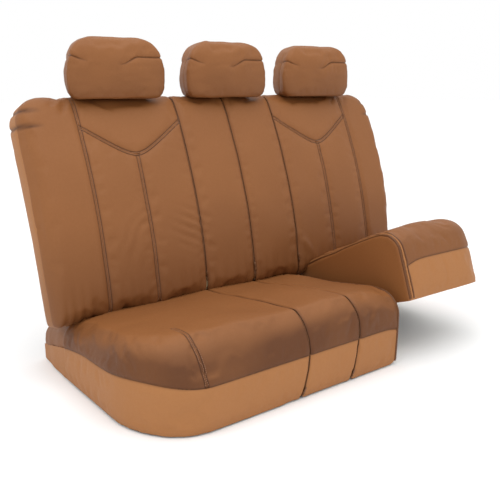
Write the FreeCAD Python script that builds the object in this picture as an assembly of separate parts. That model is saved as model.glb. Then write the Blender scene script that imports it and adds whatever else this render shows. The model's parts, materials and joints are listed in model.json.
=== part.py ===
"""Rear bench seat cover set, fitted on a plain bench form: backrest, 60/40 cushions, three headrests.

Millimetres, +Z up, +X along the bench, -Y to the front. The origin is on the floor, midway
between the two floor bolts, below the line where the backrest meets the cushions.
"""
import FreeCAD, Part
import math
import os

V = FreeCAD.Vector

# ---- driving dimensions -------------------------------------------------------------------
COVER = 2.5              # leatherette with its foam backing
CLEAR = 0.3              # gap between bodies that move past each other

RECLINE = 18.3           # backrest lean, degrees
BACK_FOOT_Z = 190.0      # height of the backrest's reference line at y = 0
BACK_CHORD = 612.0       # slope length of the backrest
BACK_BULGE = 35.0        # how far the front stands ahead of its chord
BACK_HALF = 652.0        # half width of the backrest
BACK_DEPTH = 105.0       # front chord to rear face
BACK_LOW = 18.0          # slope height of the underside
BACK_CORNER = 70.0       # radius of the upper corners
FOAM_DEPTH = 72.0        # backrest foam, measured like BACK_DEPTH
GUSSET_FRONT = 12.0      # depth at which the front panel meets the side gusset
GUSSET_REAR = 92.0       # depth at which the gusset meets the rear panel
BOLSTER_X = 510.0        # seam between bolster and yoke
STEM_X = 351.0           # seam below the point of the yoke
ZIP_X = 183.0            # outer zips; the third one is in the middle
ZIP_HALF = 3.0           # half width of a zip chain
YOKE_HIGH = 520.0        # slope height where the yoke seam meets its side seams
YOKE_LOW = 430.0         # slope height of the yoke's point

SEAT_LEFT = -628.0       # outer ends of the cushions
SEAT_RIGHT = 628.0
SEAT_60_END = 190.0      # facing ends of the two cushions
SEAT_40_END = 224.0
SEAT_FRONT = -430.0
SEAT_REAR = 62.0
SEAT_CORNER = 120.0      # plan radius of the outer front corners
HEM_Z = 3.0
SKIRT_Z = 118.0          # seam between the skirt and the top cover
ZIP_LEAN = 26.0          # how far a cushion's zip runs to the right as it climbs the skirt
PAN_Z = 18.0
PAN_THICK = 4.0
PAN_INSET = 40.0         # from the cushion's outline to the pan's rounded corner

PIVOT_Y = 82.0           # cushion hinge
PIVOT_Z = 125.0
PIVOT_R = 12.0
RAISED = 20.5            # how far the 40 % cushion stands open, degrees

HEAD_PITCH = 380.0       # spacing of the headrests
HEAD_HALF = 149.0
HEAD_FOOT_Z = 764.0
HEAD_TOP_Z = 930.0
HEAD_SEAM_Z = 872.0
HEAD_SPLIT_Y = 190.0     # where the front cover ends and the hood begins at the sides
POST_R = 6.0
POST_HALF = 70.0         # half spacing of a pair of posts
POST_DEPTH = 25.0        # position of the posts in the backrest's depth
RUNNING = 0.05           # radial clearance of shafts in their bores

UPRIGHT_X = (-500.0, 0.0, 500.0)   # uprights that carry the backrest
BOLT_HALF = 585.0        # half spacing of the floor bolts
BOLT_R = 5.5
PLATE = 5.0

BIG = 2000.0


# ---- small tools --------------------------------------------------------------------------
def save(shape, node):
    shape.exportStep(os.path.join("parts", node + ".step"))


def closed_wire(start, steps, place):
    """Closed wire from a start point and steps: (end,) is a straight run, (via, end) an arc."""
    edges = []
    here = start
    for step in steps:
        if len(step) == 1:
            curve = Part.LineSegment(place(here), place(step[0]))
        else:
            curve = Part.Arc(place(here), place(step[0]), place(step[1]))
        edges.append(curve.toShape())
        here = step[-1]
    return Part.Wire(edges)


def side(point):
    """A (y, z) pair in the side view."""
    return V(0, point[0], point[1])


def front(point):
    """An (x, z) pair in the front view."""
    return V(point[0], 0, point[1])


def plan(point):
    """An (x, y) pair in the plan view."""
    return V(point[0], point[1], 0)


def grown(wire, distance):
    return wire.makeOffset2D(distance) if distance else wire


def between_x(wire, low, high):
    """Solid of a side-view wire from x = low to x = high."""
    solid = Part.Face(wire).extrude(V(high - low, 0, 0))
    solid.translate(V(low, 0, 0))
    return solid


def through_y(wire):
    solid = Part.Face(wire).extrude(V(0, BIG, 0))
    solid.translate(V(0, -BIG / 2, 0))
    return solid


def through_z(wire):
    solid = Part.Face(wire).extrude(V(0, 0, BIG))
    solid.translate(V(0, 0, -BIG / 2))
    return solid


def block(x, y, z):
    """Box from three (low, high) pairs."""
    return Part.makeBox(x[1] - x[0], y[1] - y[0], z[1] - z[0], V(x[0], y[0], z[0]))


def group(shapes):
    return Part.makeCompound([solid for shape in shapes for solid in shape.Solids])


def lean(shape):
    """From the backrest's own axes (x, depth, slope height) to the bench's."""
    leaned = shape.copy()
    leaned.rotate(V(0, 0, 0), V(1, 0, 0), -RECLINE)
    leaned.translate(V(0, 0, BACK_FOOT_Z))
    return leaned


def leaned_point(depth, height):
    """The bench's (y, z) of a point given in the backrest's depth and slope height."""
    turn = math.radians(RECLINE)
    return (depth * math.cos(turn) + height * math.sin(turn),
            BACK_FOOT_Z - depth * math.sin(turn) + height * math.cos(turn))


# ---- backrest -----------------------------------------------------------------------------
BULGE_R = (BACK_CHORD ** 2 / 4 + BACK_BULGE ** 2) / (2 * BACK_BULGE)
BULGE_CENTRE = (BULGE_R - BACK_BULGE, BACK_CHORD / 2)


def back_front(height):
    """Depth of the backrest's front at a slope height."""
    return BULGE_CENTRE[0] - math.sqrt(BULGE_R ** 2 - (height - BULGE_CENTRE[1]) ** 2)


def back_profile(depth):
    roll = BACK_CHORD - 52
    start = (back_front(BACK_LOW + 14), BACK_LOW + 14)
    return closed_wire(start, [
        ((-BACK_BULGE, BACK_CHORD / 2), (back_front(roll), roll)),
        ((depth * 0.1, BACK_CHORD - 13), (depth * 0.46, BACK_CHORD)),
        ((depth * 0.86, BACK_CHORD - 18), (depth, BACK_CHORD - 60)),
        ((depth, BACK_LOW + 12),),
        ((depth - 3.5, BACK_LOW + 3.5), (depth - 12, BACK_LOW)),
        ((14, BACK_LOW),),
        ((back_front(BACK_LOW) + 4, BACK_LOW + 3.5), start),
    ], side)


def back_outline():
    r = BACK_CORNER
    h = BACK_HALF
    top = BACK_CHORD + 5
    low = BACK_LOW - 10
    diagonal = r * (1 - math.sqrt(0.5))
    return closed_wire((-h, low), [
        ((-h, top - r),),
        ((-h + diagonal, top - diagonal), (-h + r, top)),
        ((h - r, top),),
        ((h - diagonal, top - diagonal), (h, top - r)),
        ((h, low),),
        ((-h, low),),
    ], front)


def back_body(depth, inset):
    solid = between_x(grown(back_profile(depth), -inset), -BACK_HALF - 1, BACK_HALF + 1)
    return solid.common(through_y(grown(back_outline(), -inset)))


def sleeve_places():
    return [k * HEAD_PITCH + d * POST_HALF for k in (-1, 0, 1) for d in (-1, 1)]


def rods(radius, low, high):
    """Cylinders along the posts' lines, between two slope heights."""
    return [Part.makeCylinder(radius, high - low, V(x, POST_DEPTH, low)) for x in sleeve_places()]


SLEEVE_R = 10.0
SLEEVE_LOW = 470.0
SLEEVE_HIGH = BACK_CHORD - 4.0
ROD_LOW = 455.0
ROD_HIGH = 640.0


def sleeve_blocks():
    return [block((x - 18, x + 18), (POST_DEPTH - 14, 92), (495, 525)) for x in sleeve_places()]


def make_post_guides():
    shapes = []
    for x in sleeve_places():
        tube = Part.makeCylinder(SLEEVE_R, SLEEVE_HIGH - SLEEVE_LOW, V(x, POST_DEPTH, SLEEVE_LOW))
        bore = Part.makeCylinder(POST_R + RUNNING, BIG, V(x, POST_DEPTH, 0))
        shapes.append(tube.cut(bore))
    save(lean(group(shapes)), "post_guides")


def make_back_board():
    board = block((-600, 600), (90, 92), (40, 560))
    for piece in sleeve_blocks():
        board = board.fuse(piece)
    for rod in rods(SLEEVE_R, 300, 700):
        board = board.cut(rod)
    save(lean(board.removeSplitter()), "back_board")


def make_back_foam():
    foam = back_body(BACK_DEPTH, COVER).common(block((-BIG, BIG), (-BIG, FOAM_DEPTH), (-BIG, BIG)))
    for piece in sleeve_blocks():
        foam = foam.cut(piece)
    for rod in rods(SLEEVE_R, ROD_LOW - 15, 700):
        foam = foam.cut(rod)
    save(lean(foam), "back_foam")


def yoke_area(sign):
    """Front-view area above one yoke seam."""
    return through_y(closed_wire((sign * BOLSTER_X, YOKE_HIGH), [
        ((sign * STEM_X, YOKE_LOW),),
        ((sign * (ZIP_X + ZIP_HALF), YOKE_HIGH),),
        ((sign * (ZIP_X + ZIP_HALF), BIG / 2),),
        ((sign * BOLSTER_X, BIG / 2),),
        ((sign * BOLSTER_X, YOKE_HIGH),),
    ], front))


def make_back_covers():
    shell = back_body(BACK_DEPTH, 0).cut(back_body(BACK_DEPTH, COVER))
    for rod in rods(SLEEVE_R, 500, 700):
        shell = shell.cut(rod)
    for x in UPRIGHT_X:
        slot = block((x - 16, x + 16), (FOAM_DEPTH, BACK_DEPTH - COVER), (0, BACK_LOW + 10))
        shell = shell.cut(slot.fuse(block((x - 16, x + 16), (BACK_DEPTH - 20, BIG / 2), (0, 112))))
    everything = (-BIG / 2, BIG / 2)
    front_part = shell.common(block((-BOLSTER_X, BOLSTER_X), (-BIG / 2, 85), everything))
    zip_edge = ZIP_X + ZIP_HALF
    zips = [front_part.common(block((x - ZIP_HALF, x + ZIP_HALF), everything, everything))
            for x in (-ZIP_X, 0, ZIP_X)]
    save(lean(group(zips)), "back_zips")
    for sign, name in ((-1, "left"), (1, "right")):
        def strip(a, b):
            ends = sorted((sign * a, sign * b))
            return block(ends, everything, everything)
        save(lean(front_part.common(strip(ZIP_HALF, ZIP_X - ZIP_HALF))), "back_centre_" + name)
        yoke = yoke_area(sign)
        save(lean(front_part.common(yoke)), f"back_{name}_yoke")
        save(lean(front_part.common(strip(zip_edge, STEM_X)).cut(yoke)), f"back_{name}_insert_inner")
        save(lean(front_part.common(strip(STEM_X, BOLSTER_X)).cut(yoke)), f"back_{name}_insert_outer")
        outer = shell.common(strip(BOLSTER_X, BIG / 2))
        bolster = outer.common(block(everything, (-BIG / 2, GUSSET_FRONT), everything))
        gusset = outer.common(block(everything, (GUSSET_FRONT, GUSSET_REAR), everything))
        save(lean(bolster), f"back_{name}_bolster")
        save(lean(gusset), f"back_{name}_gusset")
    rear = shell.common(block((-BOLSTER_X, BOLSTER_X), (85, BIG / 2), everything))
    ends = shell.common(block(everything, (GUSSET_REAR, BIG / 2), everything))
    save(lean(rear.fuse(ends).removeSplitter()), "back_rear_panel")


SLIDER_LOW = 44.0
SLIDER_LONG = 16.0
SLIDER_HIGH = 3.0
SLIDER_HALF = 4.0


def make_back_sliders():
    """Each slider is a short curved saddle, concentric with the backrest's front."""
    rings = []
    for radius in (BULGE_R + CLEAR, BULGE_R + CLEAR + SLIDER_HIGH):
        rings.append(lambda height, r=radius: (
            BULGE_CENTRE[0] - math.sqrt(r ** 2 - (height - BULGE_CENTRE[1]) ** 2), height))
    low, high = SLIDER_LOW, SLIDER_LOW + SLIDER_LONG
    middle = (low + high) / 2
    profile = closed_wire(rings[0](low), [
        (rings[0](middle), rings[0](high)),
        (rings[1](high),),
        (rings[1](middle), rings[1](low)),
        (rings[0](low),),
    ], side)
    for x, name in ((-ZIP_X, "left"), (0, "centre"), (ZIP_X, "right")):
        save(lean(between_x(profile, x - SLIDER_HALF, x + SLIDER_HALF)), f"back_{name}_slider")


# ---- cushions -----------------------------------------------------------------------------
def seat_profile():
    """Side view of a cushion: upright front, round front roll, top falling to the rear."""
    return closed_wire((SEAT_FRONT, HEM_Z - COVER), [
        ((SEAT_FRONT, 140),),
        ((SEAT_FRONT + 22, 198), (-362, 214)),
        ((-154, 196), (SEAT_REAR, 152)),
        ((SEAT_REAR, HEM_Z - COVER),),
        ((SEAT_FRONT, HEM_Z - COVER),),
    ], side)


def seat_plan(low, high, round_low, round_high):
    """Plan of a cushion with the outer front corner rounded."""
    r = SEAT_CORNER
    diagonal = r * (1 - math.sqrt(0.5))
    rear = SEAT_REAR
    steps = []
    if round_low:
        start = (low, SEAT_FRONT + r)
        steps.append(((low + diagonal, SEAT_FRONT + diagonal), (low + r, SEAT_FRONT)))
    else:
        start = (low, SEAT_FRONT)
    if round_high:
        steps.append(((high - r, SEAT_FRONT),))
        steps.append(((high - diagonal, SEAT_FRONT + diagonal), (high, SEAT_FRONT + r)))
    else:
        steps.append(((high, SEAT_FRONT),))
    steps += [((high, rear),), ((low, rear),), (start,)]
    return closed_wire(start, steps, plan)


def seat_body(low, high, round_low, round_high, inset):
    solid = between_x(grown(seat_profile(), -inset), low, high)
    return solid.common(through_z(grown(seat_plan(low, high, round_low, round_high), -inset)))


def seat_parts(low, high, round_low, round_high):
    """Cover shell, open below, and the foam inside it."""
    inner = seat_body(low, high, round_low, round_high, COVER)
    everything = (-BIG / 2, BIG / 2)
    shell = seat_body(low, high, round_low, round_high, 0).cut(inner)
    shell = shell.common(block(everything, everything, (HEM_Z, BIG)))
    shell = shell.cut(block(everything, (SEAT_REAR - 2 * COVER, BIG / 2), (0, 40)))
    foam = inner.common(block(everything, everything, (PAN_Z + PAN_THICK, BIG)))
    return shell, foam


def seat_pan(low, high, round_low, round_high):
    """Pressed pan under the foam, its corner rounded like the cushion's."""
    pan = block((low + 30, high - 30), (SEAT_FRONT + 60, SEAT_REAR - 2), (PAN_Z, PAN_Z + PAN_THICK))
    return pan.common(through_z(grown(seat_plan(low, high, round_low, round_high), -PAN_INSET)).fuse(
        block((low + 60, high - 60), (0, SEAT_REAR - 2), (PAN_Z, PAN_Z + PAN_THICK))).removeSplitter())


def hinge_arms(places):
    """Plates from the rear edge of a pan up to the hinge tube."""
    arms = []
    for x in places:
        arm = block((x - 3, x + 3), (SEAT_REAR - 2, 96), (PAN_Z, PIVOT_Z + 18))
        arm = arm.cut(block((x - 3, x + 3), (SEAT_REAR - 2, SEAT_REAR + 0.5), (40, BIG)))
        bore = Part.makeCylinder(PIVOT_R + RUNNING, 10, V(x - 5, PIVOT_Y, PIVOT_Z), V(1, 0, 0))
        arms.append(arm.cut(bore))
    return group(arms)


def straps(places):
    """Elastic straps under a pan, each ending in a flat hook over the pan's edges."""
    pieces = []
    for x in places:
        pieces.append(block((x - 12.5, x + 12.5), (SEAT_FRONT + COVER, SEAT_REAR - 8), (PAN_Z - 3, PAN_Z - 1.5)))
    return group(pieces)


def end_piping(x):
    """Raised cord round the edge of a facing end."""
    ring = between_x(grown(seat_profile(), 3), x, x + 4).cut(between_x(seat_profile(), x, x + 4))
    everything = (-BIG / 2, BIG / 2)
    ring = ring.common(block(everything, everything, (HEM_Z, BIG)))
    return ring.cut(block(everything, (SEAT_REAR - 2 * COVER, BIG / 2), everything))


def leaning_strip(low, high):
    """Area between two lines that lean as the cushion's zips do up to the skirt seam."""
    return through_y(closed_wire((low, 0), [
        ((low + ZIP_LEAN, SKIRT_Z),),
        ((low + ZIP_LEAN, BIG / 2),),
        ((high + ZIP_LEAN, BIG / 2),),
        ((high + ZIP_LEAN, SKIRT_Z),),
        ((high, 0),),
        ((low, 0),),
    ], front))


def raised(shape):
    """Swing a piece of the 40 % cushion about the hinge to where it rests."""
    swung = shape.copy()
    swung.rotate(V(0, PIVOT_Y, PIVOT_Z), V(1, 0, 0), -RAISED)
    return swung


def make_seat_60():
    shell, foam = seat_parts(SEAT_LEFT, SEAT_60_END, True, False)
    everything = (-BIG / 2, BIG / 2)
    end = SEAT_60_END - COVER
    save(foam, "seat_60_foam")
    save(seat_pan(SEAT_LEFT, SEAT_60_END, True, False), "seat_60_pan")
    save(hinge_arms((-560, -200, 150)), "seat_60_hinge_arms")
    save(straps((-450, -100, 100)), "seat_60_straps")
    save(shell.common(block((end, BIG), everything, everything)), "seat_60_end_wall")
    save(end_piping(SEAT_60_END - 4), "seat_60_piping")
    body = shell.common(block((-BIG / 2, end), everything, everything))
    cuts = (-ZIP_X, 0)
    zips = [body.common(leaning_strip(x - ZIP_HALF, x + ZIP_HALF)) for x in cuts]
    save(group(zips), "seat_60_zips")
    edges = (-BIG / 2, cuts[0] - ZIP_HALF, cuts[0] + ZIP_HALF, cuts[1] - ZIP_HALF, cuts[1] + ZIP_HALF, BIG / 2)
    skirts = []
    for index, name in enumerate(("left", "centre", "right")):
        strip = body.common(leaning_strip(edges[2 * index], edges[2 * index + 1]))
        save(strip.common(block(everything, everything, (SKIRT_Z, BIG))), "seat_60_top_" + name)
        skirts.append(strip.common(block(everything, (-BIG / 2, SEAT_REAR - COVER), (0, SKIRT_Z))))
    save(skirts[0], "seat_60_skirt_left")
    save(group(skirts[1:]), "seat_60_skirt_front")
    for foot, name in zip(cuts, ("left", "right")):
        x = foot + ZIP_LEAN * (8 + SLIDER_LONG / 2) / SKIRT_Z
        slider = block((x - SLIDER_HALF, x + SLIDER_HALF),
                       (SEAT_FRONT - CLEAR - SLIDER_HIGH, SEAT_FRONT - CLEAR), (8, 8 + SLIDER_LONG))
        save(slider, f"seat_60_{name}_slider")


def make_seat_40():
    shell, foam = seat_parts(SEAT_40_END, SEAT_RIGHT, False, True)
    everything = (-BIG / 2, BIG / 2)
    wall = (-BIG / 2, SEAT_40_END + COVER)
    rest = shell.common(block((SEAT_40_END + COVER, BIG), everything, everything))
    save(raised(foam), "seat_40_foam")
    save(raised(seat_pan(SEAT_40_END, SEAT_RIGHT, False, True)), "seat_40_pan")
    save(raised(hinge_arms((280, 570))), "seat_40_hinge_arms")
    save(raised(straps((330, 500))), "seat_40_straps")
    save(raised(shell.common(block(wall, everything, everything))), "seat_40_side_wall")
    save(raised(end_piping(SEAT_40_END)), "seat_40_piping")
    save(raised(rest.common(block(everything, everything, (SKIRT_Z, BIG)))), "seat_40_top")
    skirt = rest.common(block(everything, (-BIG / 2, SEAT_REAR - COVER), (0, SKIRT_Z)))
    save(raised(skirt), "seat_40_skirt")


def make_skirt_tails():
    """Rear ends of the side skirts, tied to the bench behind the hinge."""
    tails = []
    for x in (SEAT_LEFT, SEAT_RIGHT - COVER):
        wire = closed_wire((SEAT_REAR + 2, HEM_Z), [
            ((240, HEM_Z),),
            ((240, 48),),
            ((SEAT_REAR + 2, 92),),
            ((SEAT_REAR + 2, HEM_Z),),
        ], side)
        tails.append(between_x(wire, x, x + COVER))
    save(group(tails), "skirt_tails")


# ---- headrests ----------------------------------------------------------------------------
def head_profile():
    """Side view of a headrest, flat below and round above."""
    foot = HEAD_FOOT_Z
    return closed_wire((138, foot), [
        ((126, foot + 66), (142, HEAD_TOP_Z - 27)),
        ((178, HEAD_TOP_Z), (222, HEAD_TOP_Z - 30)),
        ((250, foot + 66), (244, foot)),
        ((138, foot),),
    ], side)


def head_outline():
    """Front view of a headrest, widest in its lower half."""
    foot, top, half = HEAD_FOOT_Z, HEAD_TOP_Z + 2, HEAD_HALF
    return closed_wire((-half + 12, foot), [
        ((-half, foot + 55), (-half + 10, top - 46)),
        ((-half + 26, top - 12), (-half + 62, top)),
        ((half - 62, top),),
        ((half - 26, top - 12), (half - 10, top - 46)),
        ((half, foot + 55), (half - 12, foot)),
        ((-half + 12, foot),),
    ], front)


def head_body(inset):
    solid = between_x(grown(head_profile(), -inset), -HEAD_HALF - 1, HEAD_HALF + 1)
    return solid.common(through_y(grown(head_outline(), -inset)))


def make_headrest(centre, name):
    everything = (-BIG, BIG)
    inner = head_body(COVER)
    shell = head_body(0).cut(inner)
    moved = V(centre, 0, 0)
    post_solids = []
    for x in (-POST_HALF, POST_HALF):
        rod = Part.makeCylinder(POST_R, ROD_HIGH - ROD_LOW, V(x, POST_DEPTH, ROD_LOW))
        post_solids.append(lean(rod))
    for rod in post_solids:
        inner = inner.cut(rod)
        shell = shell.cut(rod)
    lower = shell.common(block(everything, (-BIG, HEAD_SPLIT_Y), (-BIG, HEAD_SEAM_Z)))
    parts = {
        "posts": group(post_solids),
        "foam": inner,
        "front_cover": lower,
        "hood_cover": shell.cut(block(everything, (-BIG, HEAD_SPLIT_Y), (-BIG, HEAD_SEAM_Z))),
    }
    for part, shape in parts.items():
        shape.translate(moved)
        save(shape, f"headrest_{name}_{part}")


# ---- bench form ---------------------------------------------------------------------------
def make_bench():
    plate = block((-600, 170), (-330, 230), (0, PLATE))
    foot = block((560, 610), (-20, 230), (0, PLATE))
    bolts = [Part.makeCylinder(BOLT_R, PLATE, V(x, 0, 0)) for x in (-BOLT_HALF, BOLT_HALF)]
    save(plate.cut(bolts[0]), "floor_plate")
    save(foot.cut(bolts[1]), "right_foot")
    save(block((-610, 610), (130, 170), (PLATE, 48)), "rear_beam")
    tube = Part.makeCylinder(PIVOT_R, 1220, V(-610, PIVOT_Y, PIVOT_Z), V(1, 0, 0))
    save(tube, "hinge_tube")
    brackets = []
    for x in (-606, -300, 207, 606):
        upright = block((x - 3, x + 3), (PIVOT_Y - 10, 126), (48, PIVOT_Z + 10))
        shoe = block((x - 3, x + 3), (110, 170), (48, 100))
        brackets.append(upright.fuse(shoe).cut(tube).removeSplitter())
    rear_face = BACK_DEPTH - COVER - 1.5
    corners = [leaned_point(92, 45), leaned_point(92, 420), leaned_point(rear_face, 420),
               leaned_point(rear_face, 110), (168, 48), (132, 48)]
    side_view = closed_wire(corners[-1], [(corner,) for corner in corners], side)
    for x in UPRIGHT_X:
        brackets.append(between_x(side_view, x - 12, x + 12))
    save(group(brackets), "bench_brackets")


os.makedirs("parts", exist_ok=True)
make_bench()
make_back_board()
make_post_guides()
make_back_foam()
make_back_covers()
make_back_sliders()
make_seat_60()
make_seat_40()
make_skirt_tails()
for index, side_name in enumerate(("left", "centre", "right")):
    make_headrest((index - 1) * HEAD_PITCH, side_name)
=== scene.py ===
import json
import math

import bmesh
import bpy
import numpy as np
from mathutils import Matrix, Vector, noise
from mathutils.bvhtree import BVHTree

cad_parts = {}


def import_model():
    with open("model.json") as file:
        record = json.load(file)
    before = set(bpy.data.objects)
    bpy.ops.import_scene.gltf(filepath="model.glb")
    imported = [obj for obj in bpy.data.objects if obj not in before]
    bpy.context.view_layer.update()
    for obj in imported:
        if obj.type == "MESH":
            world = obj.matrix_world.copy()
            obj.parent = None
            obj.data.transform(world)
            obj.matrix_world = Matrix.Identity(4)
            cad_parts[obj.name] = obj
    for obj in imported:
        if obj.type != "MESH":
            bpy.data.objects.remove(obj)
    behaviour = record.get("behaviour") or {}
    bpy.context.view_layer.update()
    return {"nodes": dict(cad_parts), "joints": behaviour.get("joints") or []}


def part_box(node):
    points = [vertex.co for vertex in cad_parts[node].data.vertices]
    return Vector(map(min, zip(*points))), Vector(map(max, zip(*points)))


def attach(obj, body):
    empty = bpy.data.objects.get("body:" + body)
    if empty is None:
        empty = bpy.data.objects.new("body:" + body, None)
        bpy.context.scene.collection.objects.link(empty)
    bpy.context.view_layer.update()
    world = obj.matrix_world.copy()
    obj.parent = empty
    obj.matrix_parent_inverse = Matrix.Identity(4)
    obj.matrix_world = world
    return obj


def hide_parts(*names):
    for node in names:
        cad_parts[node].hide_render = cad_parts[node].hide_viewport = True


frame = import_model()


# Leatherette: embossed vinyl on a thin foam backing, cut into the panels of every cover. The main
# colour is saddle brown and the skirts and gussets are tan. The grain is a fine pebble and the colour
# drifts a little from panel to panel. Shadow is painted into the seams where the leatherette dips, and
# painted shade makes the colour deeper where less light falls.
class Wire:
    """A node's output that takes part in plain arithmetic."""

    def __init__(self, finish, socket):
        self.finish = finish
        self.socket = socket

    def math(self, operation, first, second):
        return self.finish.node("ShaderNodeMath", {"operation": operation}, {0: first, 1: second})

    def __add__(self, other):
        return self.math("ADD", self, other)

    def __sub__(self, other):
        return self.math("SUBTRACT", self, other)

    def __rsub__(self, other):
        return self.math("SUBTRACT", other, self)

    def __mul__(self, other):
        return self.math("MULTIPLY", self, other)

    def __pow__(self, other):
        return self.math("POWER", self, other)

    __radd__ = __add__
    __rmul__ = __mul__


class Finish:
    """A material with one Principled shader, built up node by node."""

    def __init__(self, name, **uniform):
        self.material = bpy.data.materials.new(name)
        self.material.use_nodes = True
        self.tree = self.material.node_tree
        self.shader = self.tree.nodes["Principled BSDF"]
        for socket, value in uniform.items():
            self.shader.inputs[socket.replace("_", " ")].default_value = value

    def node(self, kind, settings=None, inputs=None, output=0):
        made = self.tree.nodes.new(kind)
        for key, value in (settings or {}).items():
            setattr(made, key, value)
        for key, value in (inputs or {}).items():
            self.feed(made.inputs[key], value)
        return Wire(self, made.outputs[output])

    def feed(self, socket, value):
        if isinstance(value, Wire):
            self.tree.links.new(value.socket, socket)
        else:
            socket.default_value = value

    def give(self, name, value):
        self.feed(self.shader.inputs[name], value)

    def place(self):
        return self.node("ShaderNodeTexCoord", output="Object")

    def noise(self, scale, detail=3.0):
        return self.node("ShaderNodeTexNoise", None,
                         {"Vector": self.place(), "Scale": scale, "Detail": detail})

    def cells(self, scale, feature="F1"):
        return self.node("ShaderNodeTexVoronoi", {"feature": feature},
                         {"Vector": self.place(), "Scale": scale}, "Distance")

    def ribs(self, scale, direction):
        return self.node("ShaderNodeTexWave", {"bands_direction": direction},
                         {"Vector": self.place(), "Scale": scale}, 1)

    def mix(self, amount, first, second):
        return self.node("ShaderNodeMix", {"data_type": "RGBA"}, {0: amount, 6: first, 7: second}, 2)

    def bump(self, height, distance, strength):
        self.give("Normal", self.node("ShaderNodeBump", None,
                                      {"Height": height, "Distance": distance, "Strength": strength}))

    def grained(self, grain, first, second, distance=0, strength=0):
        """Colours the surface between two colours by a pattern, and raises it by the same pattern."""
        self.give("Base Color", self.mix(grain, first, second))
        if distance:
            self.bump(grain, distance, strength)


def shade(red, green, blue):
    """Linear colour from the 0-255 values of a paint chart."""
    parts = [value / 255 for value in (red, green, blue)]
    linear = [part / 12.92 if part < 0.04045 else ((part + 0.055) / 1.055) ** 2.4 for part in parts]
    return (*linear, 1.0)


SEAM_SHADOW = shade(58, 30, 14)
PAINTED_SHADE_SCALE = (0.40, 0.34, 0.28)


def leatherette(name, colour, deep, roughness=0.58):
    skin = Finish(name, Specular_IOR_Level=0.3)
    drift = skin.noise(5.0, 2.0)
    mottle = skin.noise(160.0, 4.0)
    # Painted shade: one attribute mixes a painted seam shadow into the colour, the other deepens the
    # colour where less light falls.
    dip = skin.node("ShaderNodeAttribute", {"attribute_name": "seam"}, output="Fac")
    painted_shade = skin.node("ShaderNodeAttribute", {"attribute_name": "painted_shade"}, output="Fac")
    mottle_and_shade = skin.mix(drift * 0.5 + mottle * 0.3 - 0.1, colour, deep)
    shaded_colour = (*[part * amount for part, amount in zip(colour, PAINTED_SHADE_SCALE)], 1.0)
    mottle_and_shade = skin.mix(painted_shade, mottle_and_shade, shaded_colour)
    skin.give("Base Color", skin.mix(dip, mottle_and_shade, SEAM_SHADOW))
    skin.give("Roughness", roughness - 0.09 + mottle * 0.18)
    pebble = skin.cells(620.0, "SMOOTH_F1")
    crease = skin.cells(260.0, "DISTANCE_TO_EDGE") ** 0.4
    skin.bump(pebble * 0.5 + crease * 0.6 + mottle * 0.3, 0.0004, 0.55)
    return skin.material


BROWN = leatherette("brown_leatherette", shade(140, 89, 47), shade(122, 74, 37))
TAN = leatherette("tan_leatherette", shade(163, 110, 64), shade(148, 96, 54), 0.62)
BINDING = leatherette("piping_leatherette", shade(104, 64, 35), shade(84, 50, 27), 0.45)


# Backrest cover: ten sewn front panels over a crowned foam slab, leaning back on the bench. The slab is
# a bevelled outline, remeshed and puffed up by cloth pressure against its pinned seams. The seams are
# then cut in, pulled down, and the skin is parted along them, one piece to a panel.
slope = next(joint for joint in frame["joints"] if joint["name"] == "headrest_left_height")["axis"]
LEAN = math.atan2(slope[1], slope[2])
BACK_FOOT = 0.190
BACK_TOP = 0.612
BACK_DEEP = 0.105
BACK_BULGE = 0.035
BACK_HEM = -0.010
LEFT_EDGE = -0.664
CORNER = 0.075
FRONT_ROUND = 0.036
REAR_ROUND = 0.024
BOLSTER_LEFT = -0.505
BOLSTER_RIGHT = 0.515
STEM = 0.351
ZIP = 0.183
VOXEL = 0.007


def leaned(points):
    """From (x, depth, slope height) to the bench's own axes."""
    x, depth, height = points.T
    return np.column_stack((x, depth * math.cos(LEAN) + height * math.sin(LEAN),
                            BACK_FOOT - depth * math.sin(LEAN) + height * math.cos(LEAN)))


def thing(name, mesh, material=None):
    made = bpy.data.objects.new(name, mesh)
    bpy.context.scene.collection.objects.link(made)
    if material:
        mesh.materials.clear()
        mesh.materials.append(material)
    return made


def share(value):
    """The value, held between 0 and 1."""
    return np.clip(value, 0, 1)


def smooth_arc(start, end, low, high, steps):
    """Points of a quarter turn from start to end, round the corner at (low, high)."""
    points = []
    for step in range(steps + 1):
        turn = step / steps * math.pi / 2
        points.append((low + (start[0] - low) * math.cos(turn) + (end[0] - low) * math.sin(turn),
                       high + (start[1] - high) * math.cos(turn) + (end[1] - high) * math.sin(turn)))
    return points


def new_verts(result):
    return [item for item in result["geom"] if isinstance(item, bmesh.types.BMVert)]


def slab(outline, along, thickness):
    """bmesh of a flat outline pushed out along a direction."""
    made = bmesh.new()
    face = made.faces.new([made.verts.new(point) for point in outline])
    pushed = bmesh.ops.extrude_face_region(made, geom=[face])
    bmesh.ops.translate(made, vec=Vector(along) * thickness, verts=new_verts(pushed))
    bmesh.ops.recalc_face_normals(made, faces=made.faces)
    return made


def rounded(made, chosen, radius, segments):
    edges = [edge for edge in made.edges if chosen(edge)]
    bmesh.ops.bevel(made, geom=edges, affect="EDGES", offset=radius, offset_type="OFFSET",
                    segments=segments, profile=0.5, material=-1, clamp_overlap=True)


def as_mesh(made, name):
    """The bmesh as a new mesh; the bmesh itself is freed."""
    mesh = bpy.data.meshes.new(name)
    made.to_mesh(mesh)
    made.free()
    return mesh


def as_bmesh(mesh):
    made = bmesh.new()
    made.from_mesh(mesh)
    return made


def evened(made, voxel):
    """The bmesh remeshed into even quads, as a mesh."""
    holder = thing("form", as_mesh(made, "form"))
    remesh = holder.modifiers.new("even", "REMESH")
    remesh.mode = "VOXEL"
    remesh.voxel_size = voxel
    return baked(holder)


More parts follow.
